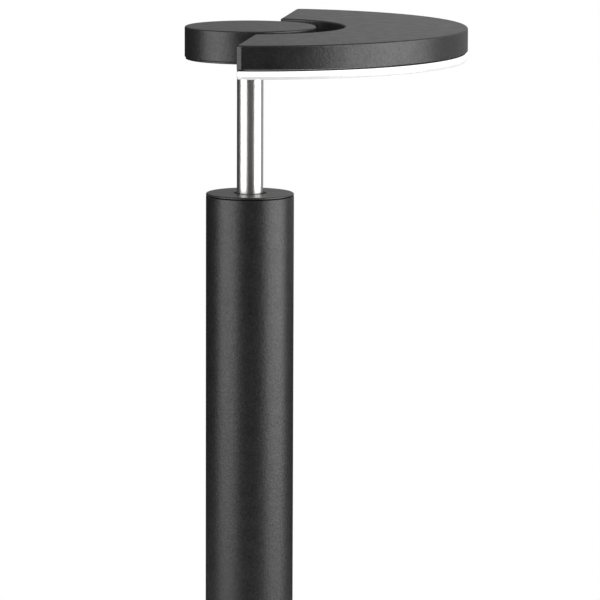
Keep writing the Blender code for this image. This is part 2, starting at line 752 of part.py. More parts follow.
def make_stop_washer(steel):
    """A washer fixed on the stem. Its tab meets the arm's lug near a half turn each way."""
    top = STOP_WASHER + 1.0 * MM
    bore = STEM_RADIUS + RUNNING_FIT
    outer = 13 * MM
    section = ((bore, STOP_WASHER), (outer, STOP_WASHER), (outer, top), (bore, top))
    washer = turned("stop_washer", section, steel, sides=SEAL_SIDES)
    tab = box("stop_tab", (-STOP_REACH, -STOP_HALF_WIDTH, STOP_WASHER), (-outer + MM, STOP_HALF_WIDTH, top))
    join(washer, tab)


def make_swivel_bush(acetal):
    bore = STEM_RADIUS + RUNNING_FIT
    flange_top = DISC_BOTTOM - GAP
    section = (
        (bore, BUSH_FLANGE),
        (14 * MM, BUSH_FLANGE),
        (14 * MM, flange_top),
        (BUSH_RADIUS, flange_top),
        (BUSH_RADIUS, DISC_TOP),
        (bore, DISC_TOP),
    )
    return turned("swivel_bush", section, acetal, sides=MEDIUM_SIDES)


# ---------------------------------------------------------------- hub and arm


def ceiling_boss(name, radius, bottom):
    """A boss that hangs from the ceiling of the hub or the half ring."""
    return rod(name, radius, bottom, CEILING + MM, sides=SCREW_SIDES)


def make_hub_body(coat):
    """A cup that hides the swivel. It opens downwards, and a slot in its wall lets the arm out."""
    section = (
        (0, HEAD_TOP),
        (HUB_RADIUS - HUB_EDGE, HEAD_TOP),
        (HUB_RADIUS - 0.25 * HUB_EDGE, HEAD_TOP - 0.25 * HUB_EDGE),
        (HUB_RADIUS, HEAD_TOP - HUB_EDGE),
        (HUB_RADIUS, HUB_WALL_BOTTOM + 0.4 * MM),
        (HUB_RADIUS - 0.4 * MM, HUB_WALL_BOTTOM),
        (HUB_RADIUS - HUB_WALL, HUB_WALL_BOTTOM),
        (HUB_RADIUS - HUB_WALL, CEILING),
        (0, CEILING),
    )
    hub = turned("hub_body", section, coat, sides=LARGE_SIDES)
    for number, azimuth in enumerate(HUB_SCREW_AZIMUTHS, 1):
        boss = ceiling_boss(f"hub_plate_boss_{number}", 3.2 * MM, HUB_PLATE_TOP + GAP)
        join(hub, place(boss, (*polar(HUB_SCREW_CIRCLE, azimuth), 0)))
    for number, azimuth in enumerate(ARM_SCREW_AZIMUTHS, 1):
        boss = ceiling_boss(f"hub_arm_boss_{number}", 4.5 * MM, DISC_TOP + GAP)
        join(hub, place(boss, (*polar(ARM_SCREW_CIRCLE, azimuth), 0)))
    slot_low = (HUB_RADIUS - 2 * HUB_WALL, -BAR_HALF_WIDTH - GAP, HEAD_BOTTOM)
    slot_high = (HUB_RADIUS + MM, BAR_HALF_WIDTH + GAP, BAR_TOP + GAP)
    cut(hub, box("hub_slot", slot_low, slot_high))
    return hub


def make_hub_plate(materials):
    plate_radius = HUB_RADIUS - 0.7 * MM
    plate = (
        (STEM_RADIUS + 0.6 * MM, HEAD_BOTTOM),
        (plate_radius - 0.4 * MM, HEAD_BOTTOM),
        (plate_radius, HEAD_BOTTOM + 0.4 * MM),
        (plate_radius, HUB_PLATE_TOP),
        (STEM_RADIUS + 0.6 * MM, HUB_PLATE_TOP),
    )
    cover = turned("hub_bottom_plate", plate, materials["coat"], sides=LARGE_SIDES)
    gasket_inner = HUB_RADIUS - HUB_WALL
    gasket_outer = HUB_RADIUS - 1.2 * MM
    gasket_bottom = HUB_PLATE_TOP + GAP
    gasket = (
        (gasket_inner, gasket_bottom),
        (gasket_outer, gasket_bottom),
        (gasket_outer, HUB_GASKET_TOP),
        (gasket_inner, HUB_GASKET_TOP),
    )
    turned("hub_gasket", gasket, materials["rubber"], sides=LARGE_SIDES)
    return cover


def fix_hub_plate(hub, cover, steel):
    for number, azimuth in enumerate(HUB_SCREW_AZIMUTHS, 1):
        spot = (*polar(HUB_SCREW_CIRCLE, azimuth), HEAD_BOTTOM)
        screw = countersunk_screw(f"hub_plate_screw_{number}", *HUB_PLATE_SCREW, steel)
        place(screw, spot, (0, 0, -1))
        hole = countersink(f"hub_plate_hole_{number}", *HUB_PLATE_SCREW)
        place(hole, spot, (0, 0, -1))
        cut(cover, hole)
        cut(hub, hole)


def make_head_arm(coat):
    """A disc round the swivel bush, and a bar with a duct that reaches over the gap into the half ring."""
    arm = rod("head_arm", DISC_RADIUS, DISC_BOTTOM, DISC_TOP, coat, sides=MEDIUM_SIDES)
    bar_start = DISC_RADIUS - 4 * MM
    block_start = HUB_RADIUS - 8.5 * MM
    block_end = HUB_RADIUS - 1.9 * MM
    side = (
        (bar_start, DISC_BOTTOM + 0.5 * MM),
        (block_start, DISC_BOTTOM + 0.5 * MM),
        (block_start, HUB_WALL_BOTTOM + GAP),
        (block_end, HUB_WALL_BOTTOM + GAP),
        (block_end, BAR_BOTTOM),
        (BAR_END, BAR_BOTTOM),
        (BAR_END, BAR_TOP),
        (bar_start, BAR_TOP),
    )
    join(arm, across("arm_bar", side, BAR_HALF_WIDTH))
    lug_low = (14.5 * MM, -STOP_HALF_WIDTH, DISC_TOP - MM)
    lug_high = (STOP_REACH, STOP_HALF_WIDTH, DISC_TOP + 2.3 * MM)
    join(arm, box("stop_lug", lug_low, lug_high))
    cut(arm, rod("arm_bore", BUSH_RADIUS + SLIP, DISC_BOTTOM - MM, DISC_TOP + MM, sides=MEDIUM_SIDES))
    duct_bottom = BAR_BOTTOM + 1.2 * MM
    duct_top = duct_bottom + 3.6 * MM
    duct_low = (bar_start - MM, -DUCT_HALF_WIDTH, duct_bottom)
    cut(arm, box("arm_duct", duct_low, (BAR_END + MM, DUCT_HALF_WIDTH, duct_top)))
    cut(arm, box("duct_mouth", duct_low, (HUB_RADIUS - 9.5 * MM, DUCT_HALF_WIDTH, BAR_TOP + MM)))
    return arm


def fix_arm_to_hub(arm, hub, steel):
    for number, azimuth in enumerate(ARM_SCREW_AZIMUTHS, 1):
        x, y = polar(ARM_SCREW_CIRCLE, azimuth)
        screw = cap_screw(f"arm_screw_{number}", *ARM_SCREW, steel)
        place(screw, (x, y, DISC_BOTTOM - GAP), (0, 0, -1))
        hole = screw_hole(f"arm_screw_hole_{number}", ARM_SCREW[0], DISC_BOTTOM - MM, DISC_TOP + 8 * MM)
        place(hole, (x, y, 0))
        cut(arm, hole)
        cut(hub, hole)


# ---------------------------------------------------------------- half ring


def make_head_housing(coat):
    """The half ring's tray, open below, with bosses for the arm's screws and the diffuser's."""
    outside = (
        (half_ring(0.4 * MM), RIM_BOTTOM),
        (half_ring(), RIM_BOTTOM + 0.4 * MM),
        (half_ring(), HEAD_TOP - RIM_EDGE),
        (half_ring(0.3 * RIM_EDGE), HEAD_TOP - 0.3 * RIM_EDGE),
        (half_ring(RIM_EDGE), HEAD_TOP),
    )
    inside = ((half_ring(RIM_WALL), RIM_BOTTOM), (half_ring(RIM_WALL), CEILING))
    housing = tray("head_housing", outside, inside, coat)
    for number, (x, y) in enumerate(diffuser_screw_places(), 1):
        boss = ceiling_boss(f"diffuser_boss_{number}", 3.4 * MM, HEAD_BOTTOM + DIFFUSER_SHEET + GAP)
        join(housing, place(boss, (x, y, 0)))
    for number, y in enumerate((-BAR_SCREW_Y, BAR_SCREW_Y), 1):
        boss = ceiling_boss(f"bar_boss_{number}", 3.8 * MM, BAR_TOP + GAP)
        join(housing, place(boss, (BAR_SCREW_X, y, 0)))
    slot_low = (RING_INNER - 6 * MM, -BAR_HALF_WIDTH - GAP, HEAD_BOTTOM)
    slot_high = (RING_INNER + 2 * RIM_WALL, BAR_HALF_WIDTH + GAP, BAR_TOP + GAP)
    cut(housing, box("housing_slot", slot_low, slot_high))
    return housing


def diffuser_screw_places():
    outer = [polar(OUTER_SCREW_CIRCLE, azimuth) for azimuth in OUTER_SCREW_AZIMUTHS]
    return outer + list(INNER_SCREW_PLACES)


def fix_bar_to_housing(arm, housing, steel):
    for number, y in enumerate((-BAR_SCREW_Y, BAR_SCREW_Y), 1):
        screw = cap_screw(f"bar_screw_{number}", *BAR_SCREW, steel)
        place(screw, (BAR_SCREW_X, y, BAR_BOTTOM - GAP), (0, 0, -1))
        hole = screw_hole(f"bar_screw_hole_{number}", BAR_SCREW[0], BAR_BOTTOM - MM, CEILING - 0.5 * MM)
        place(hole, (BAR_SCREW_X, y, 0))
        cut(arm, hole)
        cut(housing, hole)


def make_diffuser(opal):
    """A shallow opal tray below the rim, with a lip that reaches up inside the housing's wall."""
    lip = RIM_WALL + GAP + 0.1 * MM
    lip_inside = lip + 1.9 * MM
    outside = (
        (half_ring(lip), DIFFUSER_LIP_TOP),
        (half_ring(lip), DIFFUSER_STEP),
        (half_ring(DIFFUSER_SIDE), DIFFUSER_STEP),
        (half_ring(DIFFUSER_SIDE), HEAD_BOTTOM + 0.8 * MM),
        (half_ring(DIFFUSER_SIDE + 0.8 * MM), HEAD_BOTTOM),
    )
    inside = (
        (half_ring(lip_inside), DIFFUSER_LIP_TOP),
        (half_ring(lip_inside), HEAD_BOTTOM + DIFFUSER_SHEET),
    )
    return tray("diffuser", outside, inside, opal)


def fix_diffuser(diffuser, housing, steel):
    for number, (x, y) in enumerate(diffuser_screw_places(), 1):
        screw = countersunk_screw(f"diffuser_screw_{number}", *DIFFUSER_SCREW, steel)
        place(screw, (x, y, HEAD_BOTTOM), (0, 0, -1))
        hole = countersink(f"diffuser_hole_{number}", *DIFFUSER_SCREW)
        place(hole, (x, y, HEAD_BOTTOM), (0, 0, -1))
        cut(diffuser, hole)
        cut(housing, hole)


def make_diffuser_gasket(rubber):
    """A flat sealing band between the rim and the diffuser, seen as a dark line."""
    shape = bmesh.new()
    levels = (RIM_GASKET_BOTTOM, RIM_GASKET_TOP)
    outer = add_layers(shape, [(half_ring(1.0 * MM), height) for height in levels])
    inner = add_layers(shape, [(half_ring(RIM_WALL), height) for height in levels])
    bridge(shape, outer[0], inner[0])
    bridge(shape, outer[1], inner[1])
    add_object(shape, "diffuser_gasket", rubber)


def make_led_board(materials):
    """The lamp's circuit board on its thermal pad, with two rows of LEDs that face down."""
    outline = half_ring(6 * MM, BOARD_OUTER + 6 * MM, BOARD_INNER - 6 * MM, steps=30)
    board = prism("led_board", ((outline, BOARD_BOTTOM), (outline, BOARD_TOP)), materials["board"])
    prism("thermal_pad", ((outline, BOARD_TOP + GAP), (outline, PAD_TOP)), materials["pad"])
    half = 1.8 * MM
    for row, (radius, step, reach) in enumerate(LED_ROWS, 1):
        for number in range(-reach, reach + 1):
            x, y = polar(radius, number * step)
            low = (x - half, y - half, BOARD_BOTTOM - 0.8 * MM)
            high = (x + half, y + half, BOARD_BOTTOM + 0.2 * MM)
            join(board, box(f"led_{row}_{number + reach + 1}", low, high))
    low = (CONNECTOR_START, -4 * MM, BOARD_BOTTOM - GAP - 3.6 * MM)
    high = (CONNECTOR_START + 7 * MM, 4 * MM, BOARD_BOTTOM - GAP)
    box("led_connector", low, high, materials["terminal"])


def make_head_lead(material):
    """From the stem's open end over its rim, down into the arm's duct and on to the board's connector."""
    duct_middle = BAR_BOTTOM + 3 * MM
    crest = CEILING - 2.1 * MM
    route = (
        (0, 0, LEAD_SPLIT),
        (0, 0, LEAD_SPLIT + 3 * MM),
        (2.2 * MM, 0, crest - 2.6 * MM),
        (8 * MM, 0, crest),
        (14 * MM, 0, crest - 0.6 * MM),
        (21 * MM, 0, duct_middle + 2.2 * MM),
        (28 * MM, 0, duct_middle + 0.3 * MM),
        (38 * MM, 0, duct_middle),
        (58 * MM, 0, duct_middle),
        (BAR_END - 2 * MM, 0, duct_middle),
        (CONNECTOR_START - GAP, 0, duct_middle + 2 * MM),
    )
    lead("head_lead", route, HEAD_LEAD_RADIUS, material)


# ---------------------------------------------------------------- assembly


def make_post_group(materials):
    """Everything that stays still when the head turns."""
    flange = make_base_flange(materials["coat"])
    make_base_gasket(materials["rubber"])
    make_cable_grommets(materials["rubber"])
    tube = make_post_tube(materials["coat"])
    cap = make_post_cap(materials["coat"])
    fix_post_to_base(tube, flange, materials["screw"])
    fix_cap_to_post(tube, cap, materials["screw"])
    make_stem(materials["steel"])
    make_stem_fixings(materials)
    bracket = make_driver_bracket(flange, materials)
    make_driver(bracket, materials)
    make_terminal_block(bracket, materials)
    make_earth_screw(bracket, materials["screw"])
    make_post_leads(materials["lead"])
    make_retaining_ring("lower_retaining_ring", LOWER_CLIP, materials["screw"])
    make_retaining_ring("upper_retaining_ring", UPPER_CLIP, materials["screw"])
    make_stop_washer(materials["screw"])


def make_head_group(materials):
    """Everything that turns on the stem."""
    make_swivel_bush(materials["acetal"])
    hub = make_hub_body(materials["coat"])
    cover = make_hub_plate(materials)
    arm = make_head_arm(materials["coat"])
    housing = make_head_housing(materials["coat"])
    diffuser = make_diffuser(materials["opal"])
    make_diffuser_gasket(materials["rubber"])
    make_led_board(materials)
    make_head_lead(materials["lead"])
    fix_hub_plate(hub, cover, materials["screw"])
    fix_arm_to_hub(arm, hub, materials["screw"])
    fix_bar_to_housing(arm, housing, materials["screw"])
    fix_diffuser(diffuser, housing, materials["screw"])


def hang_on_pivot(things):
    """Parents the turning pieces to an empty on the swivel's axis, each where it is."""
    pivot = bpy.data.objects.new("head_pivot", None)
    pivot.location = (0, 0, DISC_BOTTOM)
    bpy.context.collection.objects.link(pivot)
    for thing in things:
        thing.parent = pivot
        thing.matrix_parent_inverse = Matrix.Translation((0, 0, -DISC_BOTTOM))


def main():
    clear_scene()
    materials = make_materials()
    make_post_group(materials)
    fixed = set(bpy.data.objects)
    make_head_group(materials)
    hang_on_pivot([thing for thing in bpy.data.objects if thing not in fixed])


main()
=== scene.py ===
"""Looks of the bollard light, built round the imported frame: finer shells, real edges and finishes."""

import json
import math

import bmesh
import bpy
from mathutils import Matrix, Vector


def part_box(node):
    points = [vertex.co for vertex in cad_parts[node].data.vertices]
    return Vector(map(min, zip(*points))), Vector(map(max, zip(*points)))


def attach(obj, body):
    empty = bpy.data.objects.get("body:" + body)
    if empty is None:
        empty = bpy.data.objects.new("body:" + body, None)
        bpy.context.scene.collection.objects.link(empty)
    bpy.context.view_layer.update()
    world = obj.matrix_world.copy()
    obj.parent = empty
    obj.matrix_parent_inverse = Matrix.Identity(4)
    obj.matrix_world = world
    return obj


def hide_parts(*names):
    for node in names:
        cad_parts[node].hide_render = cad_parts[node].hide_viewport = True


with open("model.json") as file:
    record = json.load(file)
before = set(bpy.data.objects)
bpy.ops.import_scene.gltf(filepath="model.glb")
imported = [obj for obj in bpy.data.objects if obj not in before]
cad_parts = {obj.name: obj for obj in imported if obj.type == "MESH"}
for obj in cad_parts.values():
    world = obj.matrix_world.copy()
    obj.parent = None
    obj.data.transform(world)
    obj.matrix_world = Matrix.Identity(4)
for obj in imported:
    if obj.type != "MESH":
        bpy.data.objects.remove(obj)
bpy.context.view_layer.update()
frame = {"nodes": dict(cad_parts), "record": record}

MM = 0.001
SEAM = 0.3 * MM  # the frame's gap between pieces that rest on each other
HEX = "hexagon"


def top_of(node):
    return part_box(node)[1].z


def bottom_of(node):
    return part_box(node)[0].z


# Foot, post and cap. Heights come from the frame.
BASE_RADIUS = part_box("base_flange")[1].x
PLATE_BOTTOM = bottom_of("base_flange")
POST_RADIUS = 30 * MM
POST_TOP = top_of("post_cap")
TUBE_TOP = top_of("post_tube")
TUBE_BOTTOM = bottom_of("post_tube")
TUBE_WALL = 2.5 * MM
SEAT_TOP = TUBE_BOTTOM - SEAM
SEAT_RADIUS = POST_RADIUS + 2 * MM
PLATE_TOP = SEAT_TOP - 1 * MM
SPIGOT_RADIUS = POST_RADIUS - TUBE_WALL - SEAM
SPIGOT_BORE = 23 * MM
SPIGOT_TOP = top_of("base_flange")
CAP_ROUNDING = 1.05 * MM
CAP_CHAMFER = 0.5 * MM  # under the cap's plate, where it meets the post's tube
CAP_BOSS_RADIUS = 14 * MM
CAP_RECESS_RADIUS = 24 * MM
GROMMET_BORE = 3.5 * MM

# Stem and seals
STEM_RADIUS = 9 * MM
STEM_BORE = 7 * MM
STEM_TOP = top_of("stem_tube")
STEM_BOTTOM = bottom_of("stem_tube")
STEM_SEAL_RADIUS = STEM_RADIUS + 2.3 * MM
SEAL_HEIGHT = POST_TOP - 9.5 * MM
SEAL_GROOVE_HALF_HEIGHT = 1.4 * MM

# Head: hub, arm, half ring and diffuser
HEAD_TOP = top_of("head_housing")
HEAD_BOTTOM = bottom_of("diffuser")
CEILING = HEAD_TOP - 3 * MM
HUB_RADIUS = 44.5 * MM
HUB_WALL = 3 * MM
HUB_EDGE = 1.2 * MM
HUB_PLATE_TOP = top_of("hub_bottom_plate")
DISC_TOP = top_of("swivel_bush")
BAR_TOP = top_of("head_arm")
BAR_HALF_WIDTH = 13 * MM
RING_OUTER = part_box("head_housing")[1].x
RING_INNER = 64 * MM
RING_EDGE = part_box("head_housing")[0].x  # the straight edge's distance from the axis
RIM_WALL = 2.5 * MM
RIM_BOTTOM = top_of("diffuser_gasket") + SEAM
RIM_EDGE = 1.3 * MM
TIP_SLANT = (3.2 * MM, 1.2 * MM)  # the half ring's ends are cut off at a slant: its lengths in x and y
TIP_EASE = 0.2  # degrees of the outer arc that are left for its rounded corner at the tip
CORNER_ROUNDING = 0.8 * MM  # where the straight edge meets the inner arc
DIFFUSER_SIDE = 0.4 * MM  # the diffuser's side stands this far inside the rim
DIFFUSER_SHEET = 2 * MM

# Holes and fixings
SLIP = 0.15 * MM  # radial clearance in a screw's hole
FIXING_CIRCLE = 60 * MM
FIXING_HOLE = 4.5 * MM
ENTRY_PLACES = ((7 * MM, 11 * MM), (7 * MM, -11 * MM))
ENTRY_HOLE = 6.5 * MM
HUB_SCREW_CIRCLE = 37.5 * MM
HUB_SCREW_AZIMUTHS = (90, 210, 330)
ARM_SCREW_RADIUS = 1.9 * MM
ARM_SCREW_CIRCLE = 24 * MM
ARM_SCREW_AZIMUTHS = (60, 180, 300)
BAR_SCREW_RADIUS = 1.9 * MM
BAR_SCREW_X = 74.5 * MM
BAR_SCREW_YS = (-8 * MM, 8 * MM)
OUTER_SCREW_CIRCLE = 138 * MM
OUTER_SCREW_AZIMUTHS = (-72, -24, 24, 72)
INNER_SCREW_PLACES = ((22 * MM, 72.7 * MM), (22 * MM, -72.7 * MM))

# Set screws: radius, height above the ground, azimuths
BASE_SET_SCREWS = (2.5 * MM, 42 * MM, (30, 150, 270))
CAP_SET_SCREWS = (2 * MM, POST_TOP - 17.5 * MM, (50, 130))

# Countersunk screws: shank radius, length, head radius, head height
HUB_PLATE_SCREW = (1.2 * MM, 12 * MM, 2.5 * MM, 1.1 * MM)
DIFFUSER_SCREW = (1.4 * MM, 12 * MM, 2.8 * MM, 1.4 * MM)

# How brightly the diffuser glows, with a dimmer band over its lower edge that is partly painted shade:
# height above its underside, grey
OPAL_GLOW_AND_EDGE_SHADE = ((0, 0.85), (0.03 * MM, 0.34), (1.7 * MM, 0.34), (2.5 * MM, 0.85))

ROUND_SIDES = 160
GROMMET_SIDES = 64
SCREW_SIDES = 36
SHARP_ANGLE = 32  # degrees: edges that turn by more than this stay sharp

# The camera, in metres and degrees, with its lens and sensor in millimetres
CAMERA_AZIMUTH = -81.8  # where it stands about +Z
CAMERA_DISTANCE = 2.99355  # from the post's axis, along the ground
CAMERA_RISE = 0.37357  # above the post's top
CAMERA_HEADING = -7.543  # from +Y towards +X
CAMERA_PITCH = -8.5
CAMERA_ROLL = 0.22
CAMERA_LENS = 265.8
CAMERA_SENSOR = 36

# Area lights: name, degrees to the right of the camera, elevation, distance, width, height, radiance
LIGHT_AIM = Vector((0.02, 0, 0.62))
SOFTBOXES = (
    ("left_softbox", -60, 12, 1.6, 1.6, 1.8, 3.5),
    ("right_softbox", 71, 14, 1.6, 1.85, 1.9, 4.6),
    ("back_softbox", 151, 16, 1.3, 1.9, 1.1, 0.25),
    ("corner_softbox", 132, 16, 1.3, 1.4, 1.1, 0.16),
    ("horizon_softbox", 172, 9, 4.0, 1.05, 1.6, 0.26),
    ("top_softbox", 0, 85, 1.6, 1.2, 1.2, 0.2),
)

# The room's greys, from straight down (0) to straight up (1): place, grey
ROOM_GREYS = ((0.48, 0.02), (0.56, 0.08), (0.68, 0.25), (1.0, 0.45))

FLOOR_RADIUS = 1.5
FLOOR_SIDES = 96


# ---------------------------------------------------------------- material nodes


def fill_ramp(ramp, steps):
    """Sets a colour ramp to these (position, grey) steps, listed from low to high."""
    ramp.elements.remove(ramp.elements[1])
    ramp.elements[0].position = steps[0][0]
    for position, _ in steps[1:]:
        ramp.elements.new(position)
    for element, (_, grey) in zip(ramp.elements, steps):
        element.color = (grey, grey, grey, 1.0)


class Finish:
    """A Principled material with a few helpers for its procedural nodes, in the object's own space."""

    def __init__(self, name, **sockets):
        self.material = bpy.data.materials.new(name)
        self.material.use_nodes = True
        self.tree = self.material.node_tree
        self.shader = self.tree.nodes["Principled BSDF"]
        for socket, value in sockets.items():
            self.shader.inputs[socket.replace("_", " ")].default_value = value
        self.place = self.tree.nodes.new("ShaderNodeTexCoord").outputs["Object"]

    def link(self, output, socket):
        self.tree.links.new(output, self.shader.inputs[socket])

    def stretched(self, scale):
        node = self.tree.nodes.new("ShaderNodeMapping")
        node.inputs["Scale"].default_value = scale
        self.tree.links.new(self.place, node.inputs["Vector"])
        return node.outputs["Vector"]

    def noise(self, size, detail=2.0, rough=0.5, vector=None):
        """Noise with features of about this size, in metres."""
        node = self.tree.nodes.new("ShaderNodeTexNoise")
        node.inputs["Scale"].default_value = 1 / size
        node.inputs["Detail"].default_value = detail
        node.inputs["Roughness"].default_value = rough
        self.tree.links.new(vector or self.place, node.inputs["Vector"])
        return node.outputs["Fac"]

    def ramp(self, factor, low, high):
        """Colours from low to high, over the middle of a noise's range."""
        node = self.tree.nodes.new("ShaderNodeValToRGB")
        for element, position, colour in zip(node.color_ramp.elements, (0.3, 0.7), (low, high)):
            element.position = position
            element.color = (*colour, 1.0)
        self.tree.links.new(factor, node.inputs["Fac"])
        return node.outputs["Color"]

    def spread(self, factor, low, high, start=0.3, end=0.7):
        """A number from low to high as the factor goes from start to end."""
        node = self.tree.nodes.new("ShaderNodeMapRange")
        node.inputs["From Min"].default_value = start
        node.inputs["From Max"].default_value = end
        node.inputs["To Min"].default_value = low
        node.inputs["To Max"].default_value = high
        self.tree.links.new(factor, node.inputs["Value"])
        return node.outputs["Result"]

    def levels(self, bottom, steps):
        """Greys by height above bottom, from (height, grey) steps that start at 0."""
        reach = steps[-1][0]
        split = self.tree.nodes.new("ShaderNodeSeparateXYZ")
        self.tree.links.new(self.place, split.inputs["Vector"])
        height = self.spread(split.outputs["Z"], 0, 1, bottom, bottom + reach)
        node = self.tree.nodes.new("ShaderNodeValToRGB")
        fill_ramp(node.color_ramp, [(place / reach, grey) for place, grey in steps])
        self.tree.links.new(height, node.inputs["Fac"])
        return node.outputs["Color"]

    def bump(self, height, depth, strength):
        node = self.tree.nodes.new("ShaderNodeBump")
        node.inputs["Distance"].default_value = depth
        node.inputs["Strength"].default_value = strength
        self.tree.links.new(height, node.inputs["Height"])
        self.link(node.outputs["Normal"], "Normal")


def powder_coat():
    """Anthracite polyester powder coat with a fine satin grain."""
    finish = Finish("powder_coat", IOR=1.5)
    grain = finish.noise(1.9 * MM, detail=3.0, rough=0.55)
    cloud = finish.noise(9 * MM, detail=2.0)
    finish.link(finish.ramp(grain, (0.0030, 0.0030, 0.0033), (0.0060, 0.0060, 0.0066)), "Base Color")
    finish.link(finish.spread(cloud, 0.37, 0.42), "Roughness")
    finish.link(finish.spread(grain, 0.43, 0.57), "Specular IOR Level")
    finish.bump(grain, 0.15 * MM, 0.8)
    return finish.material


def stainless():
    """Satin stainless tube with faint lines along its length."""
    finish = Finish("stainless_steel", Metallic=1.0)
    lines = finish.noise(0.35 * MM, detail=2.0, vector=finish.stretched((1.0, 1.0, 0.004)))
    finish.link(finish.ramp(lines, (0.58, 0.575, 0.56), (0.64, 0.635, 0.62)), "Base Color")
    finish.link(finish.spread(lines, 0.27, 0.31), "Roughness")
    finish.bump(lines, 0.003 * MM, 0.4)
    return finish.material


def screw_steel():
    """Machined stainless fasteners, with faint marks."""
    finish = Finish("screw_steel", Metallic=1.0)
    marks = finish.noise(0.25 * MM, detail=2.0)
    finish.link(finish.ramp(marks, (0.42, 0.42, 0.41), (0.56, 0.55, 0.53)), "Base Color")
    finish.link(finish.spread(marks, 0.26, 0.40), "Roughness")
    finish.bump(marks, 0.01 * MM, 0.4)
    return finish.material


def aluminium_sheet():
    """Bare folded sheet with the mill's rolling lines."""
    finish = Finish("aluminium_sheet", Metallic=1.0)
    lines = finish.noise(0.5 * MM, detail=3.0, vector=finish.stretched((1.0, 1.0, 0.03)))
    finish.link(finish.ramp(lines, (0.62, 0.63, 0.64), (0.74, 0.75, 0.76)), "Base Color")
    finish.link(finish.spread(lines, 0.32, 0.46), "Roughness")
    finish.bump(lines, 0.01 * MM, 0.4)
    return finish.material


def rubber():
    """Moulded black rubber."""
    finish = Finish("black_rubber", IOR=1.5, Specular_IOR_Level=0.15)
    skin = finish.noise(0.6 * MM, detail=3.0)
    finish.link(finish.ramp(skin, (0.008, 0.008, 0.008), (0.016, 0.016, 0.016)), "Base Color")
    finish.link(finish.spread(skin, 0.62, 0.78), "Roughness")
    finish.bump(skin, 0.03 * MM, 0.6)
    return finish.material


def opal_acrylic():
    """Opal acrylic lit evenly from inside, except for its thick lower edge, which glows less: partly
    because it is thicker, and partly as painted shade for the edge that faces the darker room below.
    """
    finish = Finish("opal_acrylic", IOR=1.49, Emission_Strength=1.0)
    haze = finish.noise(14 * MM, detail=2.0)
    finish.link(finish.ramp(haze, (0.31, 0.31, 0.31), (0.35, 0.35, 0.35)), "Base Color")
    # the glow dims over the lower edge: partly a thicker edge, partly painted shade
    finish.link(finish.levels(HEAD_BOTTOM, OPAL_GLOW_AND_EDGE_SHADE), "Emission Color")
    finish.link(finish.spread(haze, 0.22, 0.30), "Roughness")
    return finish.material


def moulded_plastic(name, dark, light, rough):
    """A plain moulded plastic with a fine eroded texture."""
    finish = Finish(name, IOR=1.46)
    skin = finish.noise(0.5 * MM, detail=3.0)
    finish.link(finish.ramp(skin, dark, light), "Base Color")
    finish.link(finish.spread(skin, rough - 0.06, rough + 0.06), "Roughness")
    finish.bump(skin, 0.02 * MM, 0.5)
    return finish.material


def make_materials():
    plastics = (
        ("circuit_board", (0.80, 0.81, 0.80), (0.88, 0.89, 0.88), 0.40),
        ("thermal_pad", (0.34, 0.36, 0.39), (0.42, 0.44, 0.47), 0.80),
        ("driver_case", (0.76, 0.76, 0.74), (0.82, 0.82, 0.80), 0.45),
        ("terminal_plastic", (0.40, 0.41, 0.42), (0.47, 0.48, 0.49), 0.50),
        ("acetal", (0.84, 0.83, 0.78), (0.89, 0.88, 0.84), 0.35),
        ("lead_jacket", (0.018, 0.018, 0.018), (0.030, 0.030, 0.030), 0.50),
    )
    materials = {
        "powder_coat": powder_coat(),
        "stainless_steel": stainless(),
        "screw_steel": screw_steel(),
        "aluminium_sheet": aluminium_sheet(),
        "black_rubber": rubber(),
        "opal_diffuser": opal_acrylic(),
    }
    for name, dark, light, rough in plastics:
        materials[name] = moulded_plastic(name, dark, light, rough)
    return materials


# ---------------------------------------------------------------- shape tools


def arc(centre, radius, start, end, steps):
    """Points on an arc, both ends included. Angles are in degrees."""
    points = []
    for i in range(steps + 1):
        angle = math.radians(start + (end - start) * i / steps)
        points.append((centre[0] + radius * math.cos(angle), centre[1] + radius * math.sin(angle)))
    return points


def polar(radius, azimuth):
    angle = math.radians(azimuth)
    return radius * math.cos(angle), radius * math.sin(angle)


def bridge(shape, first, second):
    """Faces between two closed rings of the same number of points."""
    for i in range(len(first)):
        after = (i + 1) % len(first)
        shape.faces.new((first[i], first[after], second[after], second[i]))


def hexagon_reach(angle):
    """Distance from a hexagon's centre to its outline, for flats at a distance of one."""
    sixth = math.radians(60)
    return 1 / math.cos((angle + sixth / 2) % sixth - sixth / 2)


def turned(section, sides=ROUND_SIDES):
    """A bmesh turned about Z from points (radius, height), or (flat, height, HEX) for a hexagon.

    A section that starts on the axis ends there too.
    """
    shape = bmesh.new()
    meets_axis = section[0][0] == 0
    rings = []
    for radius, height, *outline in section[1:-1] if meets_axis else section:
        ring = []
        for i in range(sides):
            angle = math.tau * i / sides
            reach = radius * hexagon_reach(angle) if outline else radius
            ring.append(shape.verts.new((reach * math.cos(angle), reach * math.sin(angle), height)))
        rings.append(ring)
    for first, second in zip(rings, rings[1:]):
        bridge(shape, first, second)
    if meets_axis:
        shape.faces.new(rings[0])
        shape.faces.new(rings[-1])
    else:
        bridge(shape, rings[-1], rings[0])
    return shape


def eased(before, corner, after):
    """Points that round off a corner, starting and ending 0.4 mm from it."""
    reach = 0.4 * MM
    steps = 5
    corner = Vector(corner)
    start = corner + (Vector(before) - corner).normalized() * reach
    end = corner + (Vector(after) - corner).normalized() * reach
    points = []
    for i in range(steps + 1):
        t = i / steps
        points.append(tuple(start.lerp(corner, t).lerp(corner.lerp(end, t), t)))
    return points


